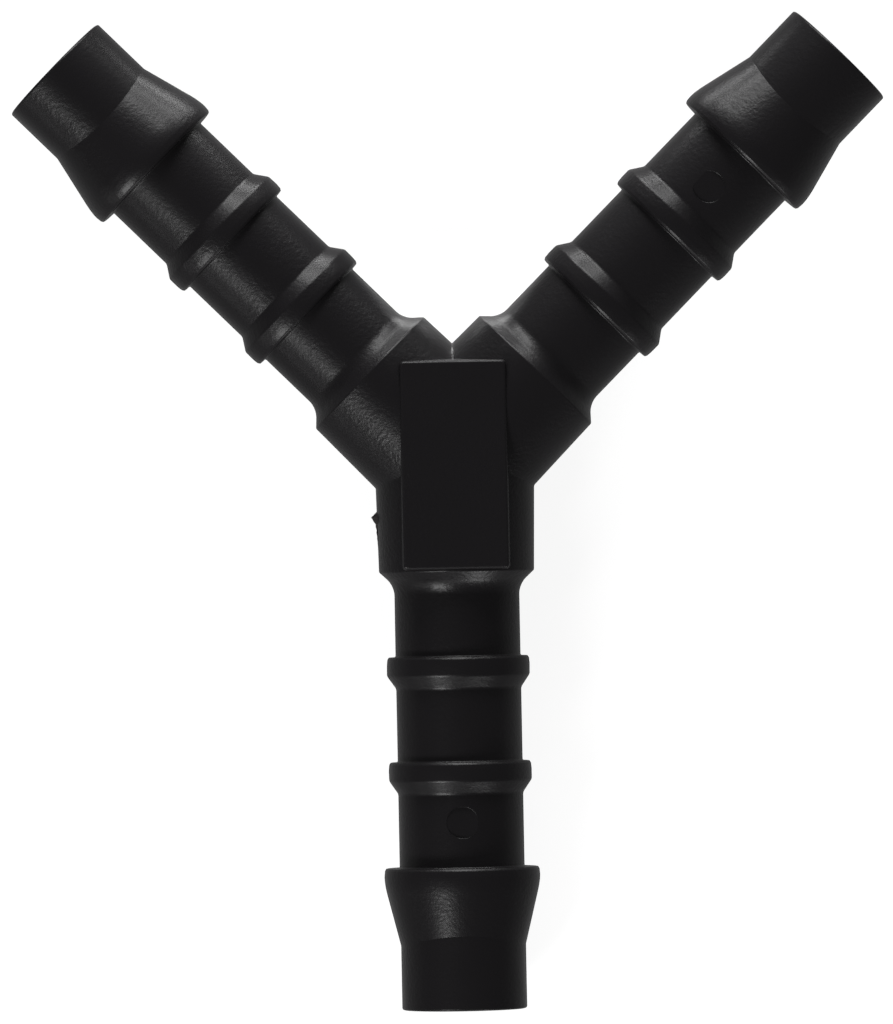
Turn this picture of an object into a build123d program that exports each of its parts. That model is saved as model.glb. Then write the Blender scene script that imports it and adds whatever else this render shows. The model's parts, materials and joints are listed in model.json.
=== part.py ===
from build123d import *
from math import radians, tan
import os

# Barbed Y connector for joining three soft hoses, moulded in one piece.
# Millimetres and degrees. The part lies flat on the pad under its hub: the legs' axes are
# in one level plane and meet above the origin, the stem runs to -Y, the branches to +Y.

# Legs: the stem and the two branches are alike
tube_diameter = 8.0         # outside, the inside diameter of the hose
bore_diameter = 5.5
branch_spread = 90.0        # angle between the two branches
stem_direction = 270.0      # seen from above, anticlockwise from +X
branch_middle = 90.0        # the direction midway between the branches

# Hub: the thick part that the three legs grow from
hub_rim_diameter = 9.94
hub_length = 7.55           # from the junction to the rim on each leg
hub_draft = 1.3             # the hub thins by this angle towards its rim
hub_bevel = 47.0            # slope of the step from the rim down to the tube
hub_foot_round = 1.35

# Grip rings along each leg
ring_count = 2
ring_diameter = 9.14
ring_start = 13.05          # from the junction to the first ring's shoulder
ring_pitch = 6.78
ring_crown = 1.2            # length of the ring's level top
ring_ramp = 34.0            # slope of its outer side

# Barb that holds the hose, and the plain nose beyond it
barb_diameter = 9.98
barb_gap = 6.83             # from the last ring's shoulder to the barb's
barb_crown = 1.0            # to where the crown's and the cone's lines cross
barb_crown_round = 5.8
barb_taper = 13.9
nose_length = 4.15
mouth_chamfer = 0.2

edge_break = 0.1            # on the barb's shoulder and round the nose's end

# Pads on the hub's front and back
pad_width = 6.8
pad_top = 5.98              # from the junction towards the branches
pad_end_step = 0.15         # from the hub's rim on the stem back to the pad's end
pad_rise = 0.06             # the pad's face stands this much above the hub's crest
pad_draft = 3.0
pad_corner_round = 0.3
pad_edge_round = 0.18

# Marks of moulding
ejector_diameter = 2.1
ejector_depth = 0.13
ejector_from_barb = 2.66    # on the front of each leg, back from the barb's shoulder
gate_at = 3.95              # from the junction along the stem to the vestige's peak
gate_height = 0.35
gate_width = 0.8            # across the parting plane
gate_rise = 0.45            # length of the steep side, towards the junction
gate_fall = 0.5             # length of the side towards the rim
flash_height = 0.13         # thin fin beyond the gate, along the parting line
flash_length = 1.8
flash_width = 0.16

overlap = 1.0               # how far cutters run past what they cut, and lumps sink in
root_lap = 0.2              # how far the legs reach in behind the sides of the pads' block

tube_radius = tube_diameter / 2
bore_radius = bore_diameter / 2
ring_radius = ring_diameter / 2
barb_radius = barb_diameter / 2
rim_radius = hub_rim_diameter / 2
hub_radius = rim_radius + hub_length * tan(radians(hub_draft))
bevel_end = hub_length + (rim_radius - tube_radius) / tan(radians(hub_bevel))
barb_start = ring_start + (ring_count - 1) * ring_pitch + barb_gap
ejector_at = barb_start - ejector_from_barb
cone_start = barb_start + barb_crown
cone_end = cone_start + (barb_radius - tube_radius) / tan(radians(barb_taper))
leg_length = cone_end + nose_length
pad_bottom = hub_length - pad_end_step
pad_height = hub_radius + pad_rise
leg_root = pad_width / 2 / tan(radians(90 - branch_spread / 4)) - root_lap
leg_directions = [stem_direction, branch_middle - branch_spread / 2, branch_middle + branch_spread / 2]


def hub_radius_at(along):
    return hub_radius - along * tan(radians(hub_draft))


def hub_corners():
    """Outline of the hub, as (along the leg, radius, rounding), from inside the block of the pads."""
    return [
        (leg_root, hub_radius_at(leg_root), 0),
        (hub_length, rim_radius, 0),
        (bevel_end, tube_radius, hub_foot_round),
    ]


def ring_corners(start):
    ramp_length = (ring_radius - tube_radius) / tan(radians(ring_ramp))
    return [
        (start, tube_radius, 0),
        (start, ring_radius, 0),
        (start + ring_crown, ring_radius, 0),
        (start + ring_crown + ramp_length, tube_radius, 0),
    ]


def barb_corners():
    return [
        (barb_start, tube_radius, 0),
        (barb_start, barb_radius - edge_break, 0),
        (barb_start + edge_break, barb_radius, 0),
        (cone_start, barb_radius, barb_crown_round),
        (cone_end, tube_radius, 0),
        (leg_length - edge_break, tube_radius, 0),
        (leg_length, tube_radius - edge_break, 0),
    ]


def turned(corners):
    """Solid of revolution about X, from the corners of its outline."""
    outline = [(along, radius) for along, radius, rounding in corners]
    section = make_face(Polyline((outline[0][0], 0), *outline, (outline[-1][0], 0), close=True))
    for along, radius, rounding in corners:
        if rounding > 0:
            corner = section.vertices().sort_by_distance((along, radius, 0))[0]
            section = fillet(corner, rounding)
    return revolve(section, Axis.X, 360)


def leg_solid():
    corners = hub_corners()
    for number in range(ring_count):
        corners += ring_corners(ring_start + number * ring_pitch)
    return turned(corners + barb_corners())


def passage_cutter():
    mouth_radius = bore_radius + mouth_chamfer
    return turned([
        (0, bore_radius, 0),
        (leg_length - mouth_chamfer, bore_radius, 0),
        (leg_length, mouth_radius, 0),
        (leg_length + overlap, mouth_radius, 0),
    ])


def pads():
    """Block with a drafted pad face above and below the legs' plane."""
    length = pad_top + pad_bottom
    outline = Pos(0, (pad_top - pad_bottom) / 2) * RectangleRounded(pad_width, length, pad_corner_round)
    foot = offset(outline, pad_height * tan(radians(pad_draft)))
    front = extrude(foot, pad_height, taper=pad_draft)
    front = fillet(front.faces().sort_by(Axis.Z)[-1].edges(), pad_edge_round)
    return front + mirror(front, Plane.XY)


def gate_vestige():
    """Torn gate on the side of the stem's hub, with a thin fin that runs on along the parting line."""
    skin = hub_radius_at(gate_at)
    nub_outline = Polyline(
        (-skin + overlap, -gate_at + gate_rise),
        (-skin, -gate_at + gate_rise),
        (-skin - gate_height, -gate_at),
        (-skin - flash_height, -gate_at - gate_fall),
        (-skin + overlap, -gate_at - gate_fall),
        close=True,
    )
    fin_outline = Polyline(
        (-skin + overlap, -gate_at),
        (-skin - flash_height, -gate_at - gate_fall),
        (-skin, -gate_at - gate_fall - flash_length),
        (-skin + overlap, -gate_at - gate_fall - flash_length),
        close=True,
    )
    nub = extrude(make_face(nub_outline), gate_width / 2, both=True)
    fin = extrude(make_face(fin_outline), flash_width / 2, both=True)
    return nub + fin


def ejector_cutter():
    floor = tube_radius - ejector_depth
    return Pos(ejector_at, 0, floor) * extrude(Circle(ejector_diameter / 2), ejector_depth + overlap)


def around_hub(shape):
    """The same shape on each of the three legs."""
    return [Rot(Z=direction) * shape for direction in leg_directions]


def y_connector():
    body = pads() + around_hub(leg_solid()) + gate_vestige()
    body -= around_hub(passage_cutter())
    body -= around_hub(ejector_cutter())
    return Pos(0, 0, pad_height) * body


os.makedirs("parts", exist_ok=True)
export_step(y_connector(), "parts/y_connector.step")
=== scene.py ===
import json
from math import cos, pi, radians, sin, tan

import bmesh
import bpy
from mathutils import Matrix, Vector, noise


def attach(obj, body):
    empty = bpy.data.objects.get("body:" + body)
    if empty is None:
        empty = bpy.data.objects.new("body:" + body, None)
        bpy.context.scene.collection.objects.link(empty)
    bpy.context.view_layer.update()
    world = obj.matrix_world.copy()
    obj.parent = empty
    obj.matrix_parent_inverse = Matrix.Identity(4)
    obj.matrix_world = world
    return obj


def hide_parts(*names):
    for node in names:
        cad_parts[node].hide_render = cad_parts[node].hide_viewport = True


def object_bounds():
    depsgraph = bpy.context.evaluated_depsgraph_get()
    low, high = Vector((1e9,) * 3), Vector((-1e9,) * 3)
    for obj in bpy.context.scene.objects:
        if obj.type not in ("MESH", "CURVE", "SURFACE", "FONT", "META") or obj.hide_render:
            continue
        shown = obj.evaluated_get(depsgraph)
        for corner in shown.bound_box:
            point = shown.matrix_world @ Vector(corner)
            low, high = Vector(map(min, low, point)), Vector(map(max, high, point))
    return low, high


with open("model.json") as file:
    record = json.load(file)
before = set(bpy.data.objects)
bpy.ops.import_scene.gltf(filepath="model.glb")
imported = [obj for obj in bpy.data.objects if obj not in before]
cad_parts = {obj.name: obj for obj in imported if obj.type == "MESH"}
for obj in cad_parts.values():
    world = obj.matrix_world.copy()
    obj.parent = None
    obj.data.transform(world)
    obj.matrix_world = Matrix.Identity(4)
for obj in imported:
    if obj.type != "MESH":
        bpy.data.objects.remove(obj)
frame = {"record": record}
cadLow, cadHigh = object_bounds()
print("frame loaded")

# Meshes are built in millimetres about the point where the legs' axes meet, then scaled down and
# lifted to where the frame has that point. The stem runs to -Y, the branches to +Y.
mm = 0.001
mounts = {mount["name"]: mount for mount in frame["record"]["mounts"]}
axisHeight = (cadLow.z + cadHigh.z) / 2 / mm
legLength = -cadLow.y / mm
tubeRadius = mounts["stem_nose"]["dims"]["r_mm"]
boreRadius = mounts["stem_bore"]["dims"]["r_mm"]
legAngles = {"stem": 270, "rightBranch": 45, "leftBranch": 135}
tiny = 1e-4    # what counts as the same place


def heading(angle):
    return Vector((cos(radians(angle)), sin(radians(angle)), 0))


def between(value, low, high):
    return min(1, max(0, (value - low) / (high - low)))


def linked(name, bm):
    mesh = bpy.data.meshes.new(name)
    bm.to_mesh(mesh)
    bm.free()
    piece = bpy.data.objects.new(name, mesh)
    bpy.context.scene.collection.objects.link(piece)
    return piece


def bevelEdges(bm, edges, offset, facets):
    bmesh.ops.bevel(
        bm, geom=edges, offset=offset, offset_type="OFFSET", segments=facets, profile=0.5,
        affect="EDGES", material=-1, clamp_overlap=True,
    )


def openEdges(bm):
    return sum(1 for edge in bm.edges if len(edge.link_faces) != 2)


# ---- legs ----
leg = {
    "segments": 160,          # round each leg
    "back": 6.0,              # how far behind the junction a leg starts, before the mitres
    "hubRimRadius": 4.97,
    "hubLength": 7.55,
    "hubDraft": 1.3,
    "hubBevel": 47,           # degrees, from the rim down to the tube
    "hubRimRound": 0.16,
    "hubFootRound": 1.35,
    "ringStarts": (13.05, 19.83),
    "ringRadius": 4.57,
    "ringCrown": 1.2,
    "ringRamp": 34,
    "barbStart": 26.66,
    "barbRadius": 4.99,
    "barbCrown": 1.0,
    "barbCrownRound": 4.8,
    "barbTaper": 13.9,
    "shoulderRound": 0.06,    # outer edge of each shoulder
    "edgeLength": 0.15,       # a narrow slope broken off that edge
    "edgeDrop": 0.093,
    "edgeRound": 0.1,
    "leadLength": 0.5,        # each crown then leans up slightly
    "leadDrop": 0.035,
    "leadRound": 1.5,
    "footRound": 0.13,        # inner corner at each shoulder's foot
    "rampCrownRound": 0.35,
    "rampFootRound": 0.4,
    "coneFootRound": 0.1,
    "noseRound": 0.15,
    "noseProud": 0.16,        # how much prouder the nose is at front and back than at the parting line
    "noseMargin": 0.05,       # what counts as the nose starts this much before the cone's end
    "skinMargin": 0.01,
    "mouthChamfer": 0.2,
    "mouthRound": 0.05,
    "arcStep": 9,             # degrees of turn to each facet of a rounding
    "creaseRound": 0.13,      # in the creases where the three hubs meet
    "creaseSegments": 4,
    "creaseCovered": 0.3,     # a crease this far inside the pads' outline is left sharp
    "flashHeight": 0.03,      # the parting line's flash, on both sides of a leg
    "flashWidth": 0.07,
    "flashStart": 5.6,
    "flashFull": 6.4,         # where it has risen to its height
    "flashUneven": 0.6,
    "flashWaves": 0.9,        # unevenness per millimetre
    "flashSeed": 7.1,
}


def hubRadius(along):
    return leg["hubRimRadius"] + (leg["hubLength"] - along) * tan(radians(leg["hubDraft"]))


def coneEnd():
    coneStart = leg["barbStart"] + leg["barbCrown"]
    return coneStart + (leg["barbRadius"] - tubeRadius) / tan(radians(leg["barbTaper"]))


def legCorners():
    bevelEnd = leg["hubLength"] + (leg["hubRimRadius"] - tubeRadius) / tan(radians(leg["hubBevel"]))
    corners = [
        (-leg["back"], boreRadius, 0),
        (-leg["back"], hubRadius(-leg["back"]), 0),
        (leg["hubLength"], leg["hubRimRadius"], leg["hubRimRound"]),
        (bevelEnd, tubeRadius, leg["hubFootRound"]),
    ]
    rampLength = (leg["ringRadius"] - tubeRadius) / tan(radians(leg["ringRamp"]))
    for at in leg["ringStarts"]:
        corners += [
            (at, tubeRadius, leg["footRound"]),
            (at, leg["ringRadius"] - leg["leadDrop"] - leg["edgeDrop"], leg["shoulderRound"]),
            (at + leg["edgeLength"], leg["ringRadius"] - leg["leadDrop"], leg["edgeRound"]),
            (at + leg["leadLength"], leg["ringRadius"], leg["leadRound"]),
            (at + leg["ringCrown"], leg["ringRadius"], leg["rampCrownRound"]),
            (at + leg["ringCrown"] + rampLength, tubeRadius, leg["rampFootRound"]),
        ]
    coneStart = leg["barbStart"] + leg["barbCrown"]
    return corners + [
        (leg["barbStart"], tubeRadius, leg["footRound"]),
        (leg["barbStart"], leg["barbRadius"] - leg["leadDrop"] - leg["edgeDrop"], leg["shoulderRound"]),
        (leg["barbStart"] + leg["edgeLength"], leg["barbRadius"] - leg["leadDrop"], leg["edgeRound"]),
        (leg["barbStart"] + leg["leadLength"], leg["barbRadius"], leg["leadRound"]),
        (coneStart, leg["barbRadius"], leg["barbCrownRound"]),
        (coneEnd(), tubeRadius, leg["coneFootRound"]),
        (legLength, tubeRadius, leg["noseRound"]),
        (legLength, boreRadius + leg["mouthChamfer"], leg["mouthRound"]),
        (legLength - leg["mouthChamfer"], boreRadius, leg["mouthRound"]),
    ]


def roundedOutline(bm, corners):
    points = [Vector((along, 0, radius)) for along, radius, rounding in corners]
    verts = [bm.verts.new(point) for point in points]
    for here, there in zip(verts, verts[1:] + verts[:1]):
        bm.edges.new((here, there))
    for number, (along, radius, rounding) in enumerate(corners):
        if rounding == 0:
            continue
        before = points[number - 1] - points[number]
        after = points[(number + 1) % len(points)] - points[number]
        opening = before.angle(after)
        facets = max(3, round((pi - opening) / radians(leg["arcStep"])))
        bmesh.ops.bevel(
            bm, geom=[verts[number]], offset=rounding / tan(opening / 2), offset_type="OFFSET",
            segments=facets, profile=0.5, affect="VERTICES", material=-1,
        )


def proudNose(bm):
    innermost = tubeRadius - leg["noseRound"] - leg["skinMargin"]
    for vert in bm.verts:
        radius = vert.co.yz.length
        if vert.co.x < coneEnd() - leg["noseMargin"] or radius < innermost:
            continue
        rise = leg["noseProud"] * (vert.co.z / radius) ** 2
        if vert.co.x < coneEnd() + leg["noseMargin"]:
            vert.co.x -= rise / tan(radians(leg["barbTaper"]))
        vert.co.y *= 1 + rise / radius
        vert.co.z *= 1 + rise / radius


def flash(bm):
    # a low ridge where the mould's halves meet, a little uneven along the leg
    step = 2 * pi / leg["segments"]
    for vert in bm.verts:
        radius = vert.co.yz.length
        if vert.co.x < leg["flashStart"] or radius < tubeRadius - leg["noseRound"]:
            continue
        turn = abs(vert.co.z) / radius
        if turn < 0.1 * step:    # on the parting line
            waves = Vector((vert.co.x * leg["flashWaves"], vert.co.y, leg["flashSeed"]))
            uneven = 1 + leg["flashUneven"] * noise.noise(waves)
            grown = between(vert.co.x, leg["flashStart"], leg["flashFull"])
            vert.co.y *= 1 + leg["flashHeight"] * uneven * grown / radius
        elif turn < 1.1 * step:    # next to it
            vert.co.z *= leg["flashWidth"] / 2 / abs(vert.co.z)


def mitredLeg(bm, angle, corners):
    # one leg, turned to its direction and cut off at the planes midway to the other two
    outline = bmesh.new()
    roundedOutline(outline, corners)
    bmesh.ops.spin(
        outline, geom=outline.verts[:] + outline.edges[:], cent=(0, 0, 0), axis=(1, 0, 0),
        dvec=(0, 0, 0), angle=2 * pi, steps=leg["segments"], use_merge=True, use_duplicate=False,
    )
    proudNose(outline)
    flash(outline)
    turned = Matrix.Rotation(radians(angle), 3, "Z")
    bmesh.ops.rotate(outline, cent=(0, 0, 0), matrix=turned, verts=outline.verts)
    for other in legAngles.values():
        if other != angle:
            bmesh.ops.bisect_plane(
                outline, geom=outline.verts[:] + outline.edges[:] + outline.faces[:], dist=1e-5,
                plane_co=(0, 0, 0), plane_no=heading(other) - heading(angle), clear_outer=True,
            )
    mesh = bpy.data.meshes.new("leg")
    outline.to_mesh(mesh)
    outline.free()
    bm.from_mesh(mesh)
    bpy.data.meshes.remove(mesh)


def threeLegs(corners):
    bm = bmesh.new()
    for angle in legAngles.values():
        mitredLeg(bm, angle, corners)
    bmesh.ops.remove_doubles(bm, verts=bm.verts, dist=tiny)
    return bm


# ---- pads on the front and back of the hub ----
pad = {
    "width": 6.8,
    "top": 5.98,              # from the junction towards the branches
    "bottom": 7.4,            # from the junction along the stem
    "draft": 3.0,
    "cornerRound": 0.3,
    "edgeRound": 0.18,
    "facets": 5,
    "clearance": 0.4,         # the block is hollowed this much past the passages, inside the legs' walls
}


def padBlock():
    bm = bmesh.new()
    bmesh.ops.create_cube(bm, size=1)
    bmesh.ops.translate(bm, vec=(0, 0, 0.5), verts=bm.verts)
    spread = axisHeight * tan(radians(pad["draft"]))
    middle = (pad["top"] - pad["bottom"]) / 2
    for vert in bm.verts:
        grow = spread if vert.co.z < 0.5 else 0
        halfWidth = pad["width"] / 2 + grow
        halfLength = (pad["top"] + pad["bottom"]) / 2 + grow
        along = middle + vert.co.y * 2 * halfLength
        vert.co = Vector((vert.co.x * 2 * halfWidth, along, vert.co.z * axisHeight))
    underside = [face for face in bm.faces if face.calc_center_median().z < tiny]
    bmesh.ops.delete(bm, geom=underside, context="FACES")
    upright = [edge for edge in bm.edges if abs(edge.verts[0].co.z - edge.verts[1].co.z) > 1]
    bevelEdges(bm, upright, pad["cornerRound"], pad["facets"])
    rim = [edge for edge in bm.edges if all(abs(vert.co.z - axisHeight) < tiny for vert in edge.verts)]
    bevelEdges(bm, rim, pad["edgeRound"], pad["facets"])
    bmesh.ops.mirror(bm, geom=bm.verts[:] + bm.edges[:] + bm.faces[:], merge_dist=tiny, axis="Z")
    bmesh.ops.remove_doubles(bm, verts=bm.verts, dist=tiny)
    bmesh.ops.recalc_face_normals(bm, faces=bm.faces)
    return bm


def roundCreases(bm):
    # the outer creases between the hubs, apart from what the pads cover
    found = []
    angles = list(legAngles.values())
    coveredWidth = pad["width"] / 2 - leg["creaseCovered"]
    coveredTop = pad["top"] - leg["creaseCovered"]
    for number, angle in enumerate(angles):
        here, there = heading(angles[number - 1]), heading(angle)
        normal = (here - there).normalized()
        for edge in bm.edges:
            middle = (edge.verts[0].co + edge.verts[1].co) / 2
            inPlane = all(abs(vert.co.dot(normal)) < 10 * tiny for vert in edge.verts)
            outside = middle.dot(here + there) > 0 and middle.length > tubeRadius
            covered = abs(middle.x) < coveredWidth and middle.y < coveredTop
            if inPlane and outside and not covered:
                found.append(edge)
    bevelEdges(bm, found, leg["creaseRound"], leg["creaseSegments"])


def combine(piece, other, operation):
    modifier = piece.modifiers.new(operation.lower(), "BOOLEAN")
    modifier.operation = operation
    modifier.solver = "EXACT"
    modifier.object = other
    depsgraph = bpy.context.evaluated_depsgraph_get()
    mesh = bpy.data.meshes.new_from_object(piece.evaluated_get(depsgraph))
    piece.modifiers.clear()
    piece.data = mesh
    bpy.data.objects.remove(other)


# ---- torn gate on the side of the stem's hub, with a thin fin along the parting line ----
gate = {
    "start": 3.62,            # from the junction along the stem
    "peak": 3.98,
    "shoulder": 4.45,         # where the lump ends and the fin goes on
    "finEnd": 6.3,
    "height": 0.36,
    "finHeight": 0.1,
    "halfWidth": 0.6,         # across the parting line
    "finHalfWidth": 0.07,
    "level": 0.55,            # share of the width that is level, before the sides fall away
    "tear": 0.09,             # unevenness of the torn face
    "tearAlong": 4,           # how fine that is along the parting line and across it
    "tearAcross": 5,
    "tearSeed": 3.7,
    "tearFull": 0.2,          # height from which the tear is at its strongest
    "edgeDepth": 0.05,        # how far the edges dip under the hub's skin
    "overlap": 1.1,
    "gridAlong": 72,
    "gridAcross": 36,
    "sink": 0.7,
}


def gateHeight(along, across):
    if along < gate["shoulder"]:
        rise = gate["height"] * between(along, gate["start"], gate["peak"])
        fall = (gate["height"] - gate["finHeight"]) * between(along, gate["peak"], gate["shoulder"])
        width = gate["halfWidth"]
        height = rise - fall
    else:
        width = gate["finHalfWidth"]
        height = gate["finHeight"] * (1 - between(along, gate["shoulder"], gate["finEnd"]))
    roundness = 1 - between(abs(across), gate["level"] * width, width)
    waves = Vector((along * gate["tearAlong"], across * gate["tearAcross"], gate["tearSeed"]))
    torn = gate["tear"] * noise.noise(waves) * between(height, 0, gate["tearFull"])
    return (height + torn + gate["edgeDepth"]) * roundness - gate["edgeDepth"]


def gateLump():
    bm = bmesh.new()
    bmesh.ops.create_grid(bm, x_segments=gate["gridAlong"], y_segments=gate["gridAcross"], size=1)
    length = gate["finEnd"] - gate["start"]
    for vert in bm.verts:
        along = gate["start"] + (vert.co.x + 1) / 2 * length
        across = vert.co.y * gate["overlap"] * gate["halfWidth"]
        skin = (hubRadius(along) ** 2 - across ** 2) ** 0.5
        vert.co = Vector((-skin - gateHeight(along, across), -along, across))
    sunk = bmesh.ops.extrude_face_region(bm, geom=bm.faces[:], use_keep_orig=True)
    moved = [thing for thing in sunk["geom"] if isinstance(thing, bmesh.types.BMVert)]
    bmesh.ops.translate(bm, vec=(gate["sink"], 0, 0), verts=moved)
    bmesh.ops.recalc_face_normals(bm, faces=bm.faces)
    return bm


# ---- shallow round marks of the ejector pins ----
mark = {
    "diameter": 2.1,
    "depths": {"stem": 0.14, "rightBranch": 0.11},    # under the tube's crown
    "at": 23.7,
    "aside": 0.1,
    "height": 1.0,
    "floorRound": 0.06,
    "floorFacets": 4,
    "segments": 72,
}


def markCutter(angle, depth):
    bm = bmesh.new()
    bmesh.ops.create_cone(
        bm, cap_ends=True, segments=mark["segments"], radius1=mark["diameter"] / 2,
        radius2=mark["diameter"] / 2, depth=mark["height"],
    )
    floorEdges = [edge for edge in bm.edges if all(vert.co.z < 0 for vert in edge.verts)]
    bevelEdges(bm, floorEdges, mark["floorRound"], mark["floorFacets"])
    sideways = heading(angle + 90) * mark["aside"]
    upwards = Vector((0, 0, tubeRadius - depth + mark["height"] / 2))
    centre = heading(angle) * mark["at"] + sideways + upwards
    bmesh.ops.translate(bm, vec=centre, verts=bm.verts)
    return bm


# ---- the moulding, in one piece ----
sharpFrom = 40    # degrees between faces from which an edge is shaded sharp
bm = threeLegs(legCorners())
roundCreases(bm)
bmesh.ops.recalc_face_normals(bm, faces=bm.faces)
print("legs joined,", len(bm.faces), "faces,", openEdges(bm), "open edges")
body = linked("moulded_connector", bm)
hollow = boreRadius + pad["clearance"]
hollowEnd = leg["hubLength"]
hollowing = threeLegs([
    (-leg["back"], 0, 0), (-leg["back"], hollow, 0), (hollowEnd, hollow, 0), (hollowEnd, 0, 0),
])
bmesh.ops.recalc_face_normals(hollowing, faces=hollowing.faces)
blocks = linked("pads", padBlock())
combine(blocks, linked("hollowing", hollowing), "DIFFERENCE")
combine(body, blocks, "UNION")
print("pads joined")
combine(body, linked("gate", gateLump()), "UNION")
for name, depth in mark["depths"].items():
    combine(body, linked(name + "_mark", markCutter(legAngles[name], depth)), "DIFFERENCE")
bm = bmesh.new()
bm.from_mesh(body.data)
print("marks cut,", len(bm.faces), "faces,", openEdges(bm), "open edges")
bmesh.ops.scale(bm, vec=(mm, mm, mm), verts=bm.verts)
bmesh.ops.translate(bm, vec=(0, 0, axisHeight * mm), verts=bm.verts)
bm.to_mesh(body.data)
bm.free()
body.data.shade_smooth()
body.data.set_sharp_from_angle(angle=radians(sharpFrom))
weighted = body.modifiers.new("evenShading", "WEIGHTED_NORMAL")
weighted.keep_sharp = True
weighted.mode = "FACE_AREA_WITH_ANGLE"
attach(body, "root")
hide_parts("y_connector")

# ---- black plastic ----
plastic = {
    "colour": (0.0052, 0.0047, 0.0053, 1),
    "roughness": 0.32,
    "roughnessSpread": 0.05,
    "specularLevel": 0.13,
    "grainScale": 3600,       # bumps a bit over a quarter of a millimetre apart
    "grainDepth": 0.000023,
    "grainDetail": 3,
    "grainRoughness": 0.6,
    "patchScale": 260,        # the grain is stronger in some patches than in others
    "patchDetail": 2,
    "patchRange": (0.35, 0.65),
    "patchStrength": (0.45, 1.3),
    "speckColour": (0.3, 0.3, 0.3, 1),
    "speckScale": 330,
    "speckShare": 0.03,
    "speckSize": 0.045,
    # painted light: the gate's middle is made paler, standing in for the light the nub catches
    "gatePaintedLightColour": (0.022, 0.020, 0.020, 1),
    "gatePaintedLightRadius": 0.00062,    # round the middle of the torn gate, where a paler colour is painted light
    "gatePaintedLightFade": 0.00025,
    "coarseRadius": 0.005,    # the grain is coarser where the plastic streamed in past the gate
    "coarseFade": 0.007,
    "coarseExtra": 0.9,
}


def newNode(tree, kind, **values):
    node = tree.nodes.new(kind)
    for name, value in values.items():
        setattr(node, name, value)
    return node


def mouldedSurface():
    # what the mould leaves on the plastic: a fine grain, patchy in strength, and a few specks of dust
    group = bpy.data.node_groups.new("mouldedSurface", "ShaderNodeTree")
    face = group.interface
    face.new_socket("Place", in_out="INPUT", socket_type="NodeSocketVector")
    scales = "Grain Scale", "Patch Scale", "Speck Scale"
    for name in (*scales, "Roughness", "Roughness Spread", "Speck Share", "Speck Size", "Extra Grain"):
        face.new_socket(name, in_out="INPUT", socket_type="NodeSocketFloat")
    for name in ("Height", "Roughness", "Specks"):
        face.new_socket(name, in_out="OUTPUT", socket_type="NodeSocketFloat")
    links = group.links
    given = newNode(group, "NodeGroupInput")
    result = newNode(group, "NodeGroupOutput")

    grain = newNode(group, "ShaderNodeTexNoise")
    grain.inputs["Detail"].default_value = plastic["grainDetail"]
    grain.inputs["Roughness"].default_value = plastic["grainRoughness"]
    links.new(given.outputs["Place"], grain.inputs["Vector"])
    links.new(given.outputs["Grain Scale"], grain.inputs["Scale"])
    patches = newNode(group, "ShaderNodeTexNoise")
    patches.inputs["Detail"].default_value = plastic["patchDetail"]
    links.new(given.outputs["Place"], patches.inputs["Vector"])
    links.new(given.outputs["Patch Scale"], patches.inputs["Scale"])
    strength = newNode(group, "ShaderNodeMapRange")
    limits = plastic["patchRange"] + plastic["patchStrength"]
    for socket, value in zip(("From Min", "From Max", "To Min", "To Max"), limits):
        strength.inputs[socket].default_value = value
    links.new(patches.outputs["Fac"], strength.inputs["Value"])
    height = newNode(group, "ShaderNodeMath", operation="MULTIPLY")
    stronger = newNode(group, "ShaderNodeMath", operation="ADD")
    links.new(strength.outputs["Result"], stronger.inputs[0])
    links.new(given.outputs["Extra Grain"], stronger.inputs[1])
    links.new(grain.outputs["Fac"], height.inputs[0])
    links.new(stronger.outputs[0], height.inputs[1])
    links.new(height.outputs[0], result.inputs["Height"])

    spread = newNode(group, "ShaderNodeMath", operation="MULTIPLY_ADD")
    links.new(patches.outputs["Fac"], spread.inputs[0])
    links.new(given.outputs["Roughness Spread"], spread.inputs[1])
    links.new(given.outputs["Roughness"], spread.inputs[2])
    links.new(spread.outputs[0], result.inputs["Roughness"])

    dust = newNode(group, "ShaderNodeTexVoronoi")
    links.new(given.outputs["Place"], dust.inputs["Vector"])
    links.new(given.outputs["Speck Scale"], dust.inputs["Scale"])
    near = newNode(group, "ShaderNodeMath", operation="LESS_THAN")
    links.new(dust.outputs["Distance"], near.inputs[0])
    links.new(given.outputs["Speck Size"], near.inputs[1])
    chance = newNode(group, "ShaderNodeSeparateColor")
    links.new(dust.outputs["Color"], chance.inputs[0])
    rare = newNode(group, "ShaderNodeMath", operation="LESS_THAN")
    links.new(chance.outputs[0], rare.inputs[0])
    links.new(given.outputs["Speck Share"], rare.inputs[1])
    specks = newNode(group, "ShaderNodeMath", operation="MULTIPLY")
    links.new(near.outputs[0], specks.inputs[0])
    links.new(rare.outputs[0], specks.inputs[1])
    links.new(specks.outputs[0], result.inputs["Specks"])
    return group


def patchMask():
    # 1 close round a point, fading to 0
    group = bpy.data.node_groups.new("patchMask", "ShaderNodeTree")
    face = group.interface
    for name in ("Place", "Centre"):
        face.new_socket(name, in_out="INPUT", socket_type="NodeSocketVector")
    for name in ("Radius", "Outer Radius"):
        face.new_socket(name, in_out="INPUT", socket_type="NodeSocketFloat")
    face.new_socket("Mask", in_out="OUTPUT", socket_type="NodeSocketFloat")
    given = newNode(group, "NodeGroupInput")
    result = newNode(group, "NodeGroupOutput")
    away = newNode(group, "ShaderNodeVectorMath", operation="DISTANCE")
    fade = newNode(group, "ShaderNodeMapRange")
    fade.inputs["To Min"].default_value = 1
    fade.inputs["To Max"].default_value = 0
    group.links.new(given.outputs["Place"], away.inputs[0])
    group.links.new(given.outputs["Centre"], away.inputs[1])
    group.links.new(away.outputs["Value"], fade.inputs["Value"])
    group.links.new(given.outputs["Radius"], fade.inputs["From Min"])
    group.links.new(given.outputs["Outer Radius"], fade.inputs["From Max"])
    group.links.new(fade.outputs["Result"], result.inputs["Mask"])
    return group


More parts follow.
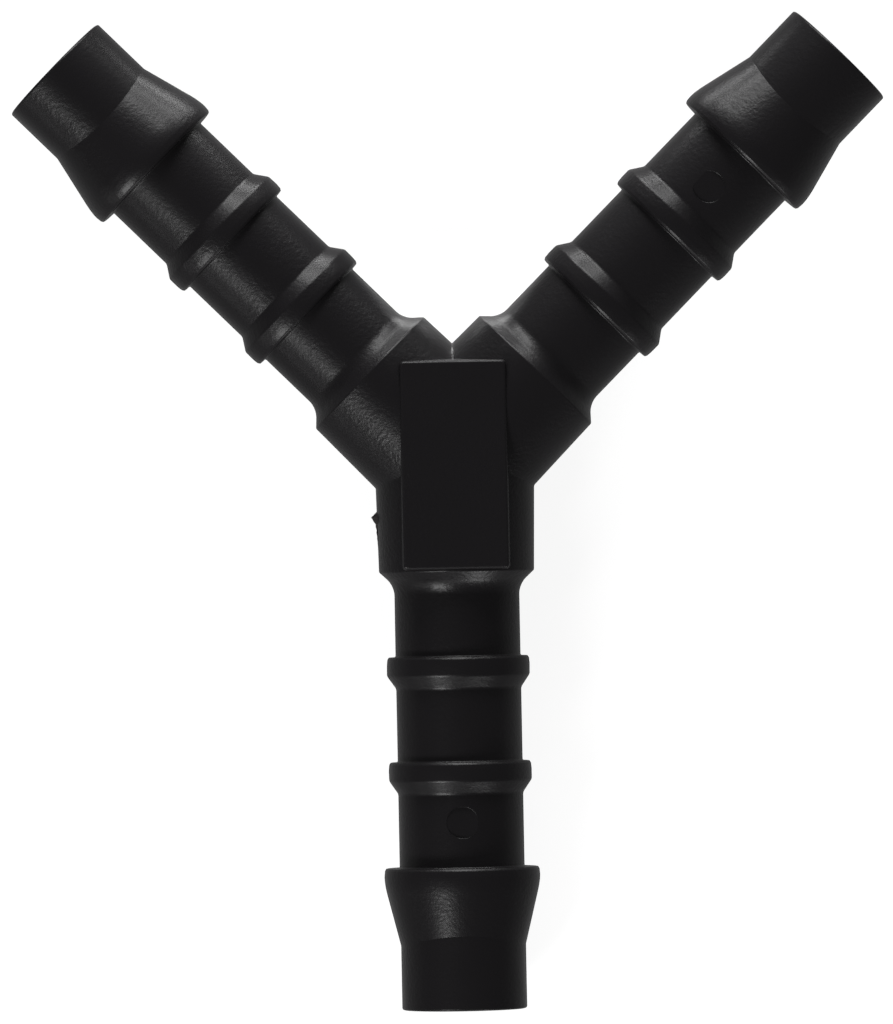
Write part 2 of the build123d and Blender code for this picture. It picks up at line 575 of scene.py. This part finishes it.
def blackPlastic():
    material = bpy.data.materials.new("black_plastic")
    material.use_nodes = True
    tree = material.node_tree
    shader = tree.nodes["Principled BSDF"]
    shader.inputs["Specular IOR Level"].default_value = plastic["specularLevel"]
    place = newNode(tree, "ShaderNodeTexCoord")
    surface = newNode(tree, "ShaderNodeGroup", node_tree=mouldedSurface())
    for socket, value in (
        ("Grain Scale", "grainScale"), ("Patch Scale", "patchScale"), ("Roughness", "roughness"),
        ("Roughness Spread", "roughnessSpread"), ("Speck Scale", "speckScale"),
        ("Speck Share", "speckShare"), ("Speck Size", "speckSize"),
    ):
        surface.inputs[socket].default_value = plastic[value]
    tree.links.new(place.outputs["Object"], surface.inputs["Place"])
    bump = newNode(tree, "ShaderNodeBump")
    bump.inputs["Distance"].default_value = plastic["grainDepth"]
    colour = newNode(tree, "ShaderNodeMix", data_type="RGBA")
    colour.inputs["A"].default_value = plastic["colour"]
    colour.inputs["B"].default_value = plastic["speckColour"]
    masks = patchMask()
    middle = Vector((-hubRadius(gate["peak"]) - gate["height"] / 2, -gate["peak"], axisHeight)) * mm
    torn = newNode(tree, "ShaderNodeGroup", node_tree=masks)
    torn.inputs["Centre"].default_value = middle
    torn.inputs["Radius"].default_value = plastic["gatePaintedLightRadius"]
    torn.inputs["Outer Radius"].default_value = plastic["gatePaintedLightRadius"] + plastic["gatePaintedLightFade"]
    coarse = newNode(tree, "ShaderNodeGroup", node_tree=masks)
    coarse.inputs["Centre"].default_value = middle
    coarse.inputs["Radius"].default_value = plastic["coarseRadius"]
    coarse.inputs["Outer Radius"].default_value = plastic["coarseRadius"] + plastic["coarseFade"]
    extra = newNode(tree, "ShaderNodeMath", operation="MULTIPLY")
    extra.inputs[1].default_value = plastic["coarseExtra"]
    tree.links.new(place.outputs["Object"], coarse.inputs["Place"])
    tree.links.new(coarse.outputs["Mask"], extra.inputs[0])
    tree.links.new(extra.outputs[0], surface.inputs["Extra Grain"])
    # painted light: the base colour is mixed paler round the gate's middle, for the light the nub catches
    gatePaintedLight = newNode(tree, "ShaderNodeMix", data_type="RGBA")
    gatePaintedLight.inputs["B"].default_value = plastic["gatePaintedLightColour"]
    tree.links.new(surface.outputs["Height"], bump.inputs["Height"])
    tree.links.new(surface.outputs["Specks"], colour.inputs["Factor"])
    tree.links.new(surface.outputs["Roughness"], shader.inputs["Roughness"])
    tree.links.new(place.outputs["Object"], torn.inputs["Place"])
    tree.links.new(torn.outputs["Mask"], gatePaintedLight.inputs["Factor"])
    tree.links.new(colour.outputs["Result"], gatePaintedLight.inputs["A"])
    tree.links.new(gatePaintedLight.outputs["Result"], shader.inputs["Base Color"])
    tree.links.new(bump.outputs["Normal"], shader.inputs["Normal"])
    return material


body.data.materials.clear()
body.data.materials.append(blackPlastic())

# ---- floor ----
studio = {
    "floorRadius": 3.0,
    "wallHeight": 0.6,
    "diffuse": (0.15, 0.15, 0.15, 1),
    "glow": 0.9,              # what the floor shows of its own, so that it stays pale in the shadow
    "mirrored": 0.22,         # share of that glow in reflections
    "segments": 96,
    "world": (0.25, 0.25, 0.25, 1),
}


def paleFloor():
    bm = bmesh.new()
    bmesh.ops.create_circle(bm, cap_ends=True, segments=studio["segments"], radius=studio["floorRadius"])
    rim = [edge for edge in bm.edges if edge.is_boundary]
    wall = bmesh.ops.extrude_edge_only(bm, edges=rim)
    raised = [thing for thing in wall["geom"] if isinstance(thing, bmesh.types.BMVert)]
    bmesh.ops.translate(bm, vec=(0, 0, studio["wallHeight"]), verts=raised)
    floor = linked("floor", bm)
    material = bpy.data.materials.new("pale_floor")
    material.use_nodes = True
    tree = material.node_tree
    tree.nodes.clear()
    links = tree.links
    output = newNode(tree, "ShaderNodeOutputMaterial")
    matt = newNode(tree, "ShaderNodeBsdfDiffuse")
    matt.inputs["Color"].default_value = studio["diffuse"]
    glow = newNode(tree, "ShaderNodeEmission")
    rays = newNode(tree, "ShaderNodeLightPath")
    mirrored = newNode(tree, "ShaderNodeMath", operation="MAXIMUM")
    share = newNode(tree, "ShaderNodeMath", operation="MULTIPLY")
    share.inputs[1].default_value = studio["mirrored"]
    seen = newNode(tree, "ShaderNodeMath", operation="MAXIMUM")
    strength = newNode(tree, "ShaderNodeMath", operation="MULTIPLY")
    strength.inputs[1].default_value = studio["glow"]
    links.new(rays.outputs["Is Glossy Ray"], mirrored.inputs[0])
    links.new(rays.outputs["Is Transmission Ray"], mirrored.inputs[1])
    links.new(mirrored.outputs[0], share.inputs[0])
    links.new(rays.outputs["Is Camera Ray"], seen.inputs[0])
    links.new(share.outputs[0], seen.inputs[1])
    links.new(seen.outputs[0], strength.inputs[0])
    links.new(strength.outputs[0], glow.inputs["Strength"])
    both = newNode(tree, "ShaderNodeAddShader")
    links.new(matt.outputs[0], both.inputs[0])
    links.new(glow.outputs[0], both.inputs[1])
    links.new(both.outputs[0], output.inputs["Surface"])
    floor.data.materials.append(material)


paleFloor()

# ---- lamps ----
lamps = {
    "key": {"azimuth": -122.5, "elevation": 35.5, "distance": 0.8, "size": (0.168, 0.297), "watts": 5.6},
    "backPanel": {"azimuth": 89, "elevation": 23, "distance": 0.8, "size": (0.43, 0.23), "watts": 6.9},
    "backEast": {"azimuth": 66, "elevation": 3, "distance": 0.8, "size": (0.22, 0.078), "watts": 2.4},
    "backMiddle": {"azimuth": 89, "elevation": 3, "distance": 0.8, "size": (0.38, 0.078), "watts": 1.4},
    "backWest": {"azimuth": 108, "elevation": 4, "distance": 0.8, "size": (0.2, 0.1), "watts": 2.6},
    "frontStrip": {"azimuth": -70, "elevation": 3, "distance": 0.8, "size": (0.21, 0.075), "watts": 2.1},
    "frontPanel": {"azimuth": -92, "elevation": 15, "distance": 0.8, "size": (0.66, 0.21), "watts": 1.2},
    "sideStrip": {"azimuth": -140, "elevation": 3, "distance": 0.8, "size": (0.25, 0.078), "watts": 0.25},
    # small ones, low and close between the branches, turned towards the barbs, the rings and the hub,
    # for what the pale ground gives back there
    "westLow": {"azimuth": 103, "elevation": 2.5, "distance": 0.038, "size": (0.012, 0.0028), "watts": 0.0009,
                "turn": -29, "spread": 70},
    "eastLow": {"azimuth": 77, "elevation": 2.5, "distance": 0.038, "size": (0.012, 0.0028), "watts": 0.0008,
                "turn": 29, "spread": 70},
    "ringWest": {"azimuth": 106, "elevation": 4, "distance": 0.0255, "size": (0.007, 0.0025), "watts": 0.0002,
                 "turn": -23, "spread": 70},
    "ringEast": {"azimuth": 74, "elevation": 4, "distance": 0.0255, "size": (0.007, 0.0025), "watts": 0.0002,
                 "turn": 23, "spread": 70},
    "hubLow": {"azimuth": 90, "elevation": 6.5, "distance": 0.0145, "size": (0.008, 0.0028), "watts": 0.0008,
               "spread": 120},
}


def addLamp(name, values):
    data = bpy.data.lights.new(name, "AREA")
    data.shape = "RECTANGLE"
    data.size, data.size_y = values["size"]
    data.energy = values["watts"]
    data.spread = radians(values.get("spread", 180))
    lamp = bpy.data.objects.new(name, data)
    around, upwards = radians(values["azimuth"]), radians(values["elevation"])
    towards = Vector((cos(around) * cos(upwards), sin(around) * cos(upwards), sin(upwards)))
    lamp.location = towards * values["distance"]
    turned = Matrix.Rotation(radians(values.get("turn", 0)), 3, "Z") @ towards
    lamp.rotation_euler = turned.to_track_quat("Z", "Y").to_euler()
    lamp.visible_camera = False
    bpy.context.scene.collection.objects.link(lamp)


for name, values in lamps.items():
    addLamp(name, values)

world = bpy.data.worlds.new("studio")
world.use_nodes = True
world.node_tree.nodes["Background"].inputs["Color"].default_value = studio["world"]
bpy.context.scene.world = world

# ---- camera, straight above ----
view = {
    "height": 0.85,           # above the legs' plane
    "fieldHeight": 0.06606,   # what the picture's height spans in the legs' plane
    "centre": (-0.00057, -0.00373),
    "turn": -1.1,
    "sensorWidth": 36,
    "nearest": 0.01,
    "farthest": 20,
}
cameraData = bpy.data.cameras.new("camera")
cameraData.sensor_width = view["sensorWidth"]
cameraData.lens = cameraData.sensor_width * view["height"] / view["fieldHeight"]
cameraData.clip_start = view["nearest"]
cameraData.clip_end = view["farthest"]
camera = bpy.data.objects.new("camera", cameraData)
camera.location = (*view["centre"], axisHeight * mm + view["height"])
camera.rotation_euler = (0, 0, radians(view["turn"]))
bpy.context.scene.collection.objects.link(camera)
bpy.context.scene.camera = camera
bpy.context.scene.view_settings.view_transform = "Standard"
print("studio set")
